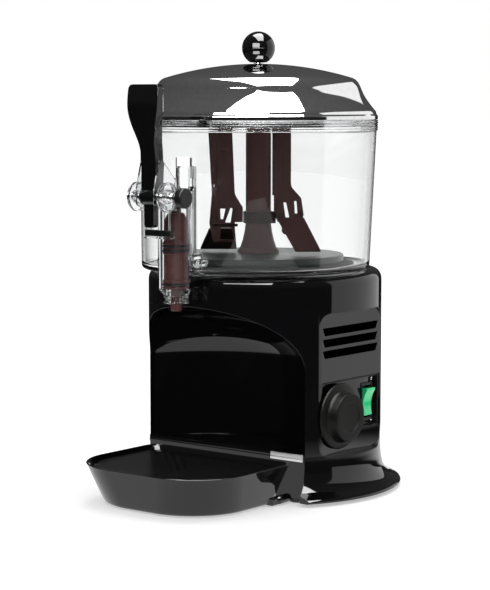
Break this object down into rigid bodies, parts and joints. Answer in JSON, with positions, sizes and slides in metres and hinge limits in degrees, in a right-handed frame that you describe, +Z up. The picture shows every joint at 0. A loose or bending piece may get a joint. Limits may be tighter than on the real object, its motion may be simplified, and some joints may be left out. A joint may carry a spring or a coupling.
{
  "type": "heated bowl dispenser",
  "caption": "Countertop heated dispenser with a round flared casing, cup bay, clear stirred bowl, domed chrome lid, lever tap, side dial and switch, and a slide-out drip tray.",
  "frame": {"origin": "middle of the footprint at counter level: halfway between the tray front and the back of the flared foot", "axes": "+Z up; -Y is the front, with the tap and tray; +X is the side with the vents and controls"},
  "size_m": [0.2828, 0.3522, 0.465],
  "materials": {
    "casing_black": "polished black moulding",
    "satin_black": "satin black moulding",
    "clear_plastic": "clear polished moulding",
    "brown": "dark brown moulding, slight sheen",
    "dark_brown": "darker brown moulding",
    "chrome": "mirror",
    "steel": "plain stainless",
    "plate_steel": "dull dark plate",
    "zinc": "cast, as made",
    "rubber": "matt",
    "green": "translucent green switch cap",
    "acetal": "moulded gear",
    "copper": "sheathed heater"
  },
  "bodies": {
    "base": {"body_shell": "casing_black", "base_plate": "satin_black", "foot_1": "rubber", "foot_2": "rubber", "foot_3": "rubber", "foot_4": "rubber", "shelf_strip": "chrome", "control_tub": "satin_black", "thermostat": "zinc", "switch_housing": "satin_black", "cord_gland": "satin_black", "heating_plate": "plate_steel", "water_tank": "steel", "heating_element": "copper", "gearbox_case": "zinc", "gearbox_cover": "zinc", "motor_can": "satin_black", "centre_post": "steel", "shaft_seal": "rubber"},
    "drive": {"output_gear": "acetal", "drive_shaft": "steel", "drive_dog": "steel"},
    "rotor": {"motor_pinion": "steel"},
    "agitator": {"stirrer_tube": "brown", "stirrer_collar": "dark_brown", "blade_outer": "brown", "blade_inner": "brown", "paddle_outer": "dark_brown", "paddle_inner": "brown", "paddle_tie": "dark_brown"},
    "vessel": {"bowl": "clear_plastic", "bowl_seal": "rubber", "outlet_nozzle": "clear_plastic", "lever_bracket": "clear_plastic", "stop_bar": "satin_black"},
    "lid": {"lid_shell": "chrome", "lid_knob": "casing_black", "knob_washer": "chrome", "knob_screw": "steel"},
    "valve": {"piston": "brown", "piston_ring_low": "rubber", "piston_ring_1": "rubber", "piston_ring_2": "rubber", "piston_pin": "steel"},
    "handle": {"lever": "casing_black"},
    "axle": {"axle_pin": "steel", "wheel_left": "clear_plastic", "wheel_right": "clear_plastic", "hub_left": "chrome", "hub_right": "chrome", "spacer_left": "chrome", "spacer_right": "chrome", "axle_knob": "satin_black"},
    "tray": {"drip_tray": "casing_black"},
    "grid": {"drip_grid": "satin_black"},
    "dial": {"thermostat_dial": "satin_black"},
    "rocker": {"switch_rocker": "green"}
  },
  "joints": [
    {"name": "drive_spin", "type": "hinge", "parent": "base", "child": "drive", "pos_m": [0, 0.02332, 0.19], "axis": [0, 0, 1], "continuous": true},
    {"name": "rotor_spin", "type": "hinge", "parent": "base", "child": "rotor", "pos_m": [0, 0.05783, 0.19], "axis": [0, 0, 1], "continuous": true},
    {"name": "stirrer_lift", "type": "slide", "parent": "drive", "child": "agitator", "axis": [0, 0, 1], "range_m": [0, 0.035]},
    {"name": "bowl_lift", "type": "slide", "parent": "base", "child": "vessel", "axis": [0, 0, 1], "range_m": [0, 0.15]},
    {"name": "lid_lift", "type": "slide", "parent": "vessel", "child": "lid", "axis": [0, 0, 1], "range_m": [0, 0.12]},
    {"name": "lever_pull", "type": "hinge", "parent": "vessel", "child": "handle", "pos_m": [0, -0.14267, 0.3035], "axis": [1, 0, 0], "range_deg": [0, 26], "stiffness_Nm_per_rad": 0.6, "springref_deg": -8.59},
    {"name": "piston_lift", "type": "slide", "parent": "vessel", "child": "valve", "axis": [0, 0, 1], "range_m": [0, 0.0175]},
    {"name": "axle_turn", "type": "hinge", "parent": "vessel", "child": "axle", "pos_m": [0, -0.14267, 0.3035], "axis": [1, 0, 0], "continuous": true},
    {"name": "tray_slide", "type": "slide", "parent": "base", "child": "tray", "axis": [0, -1, 0], "range_m": [0, 0.12]},
    {"name": "grid_lift", "type": "slide", "parent": "tray", "child": "grid", "axis": [0, 0, 1], "range_m": [0, 0.06]},
    {"name": "dial_turn", "type": "hinge", "parent": "base", "child": "dial", "pos_m": [0.1088, 0.01383, 0.0826], "axis": [1, 0, 0], "range_deg": [-270, 0]},
    {"name": "rocker_tilt", "type": "hinge", "parent": "base", "child": "rocker", "pos_m": [0.101, 0.06982, 0.09], "axis": [0, 1, 0], "range_deg": [-12, 0]}
  ],
  "couplings": [
    {"joint": "rotor_spin", "follows": "drive_spin", "ratio": -3.6},
    {"joint": "piston_lift", "follows": "lever_pull", "m_per_rad": 0.0372}
  ]
}
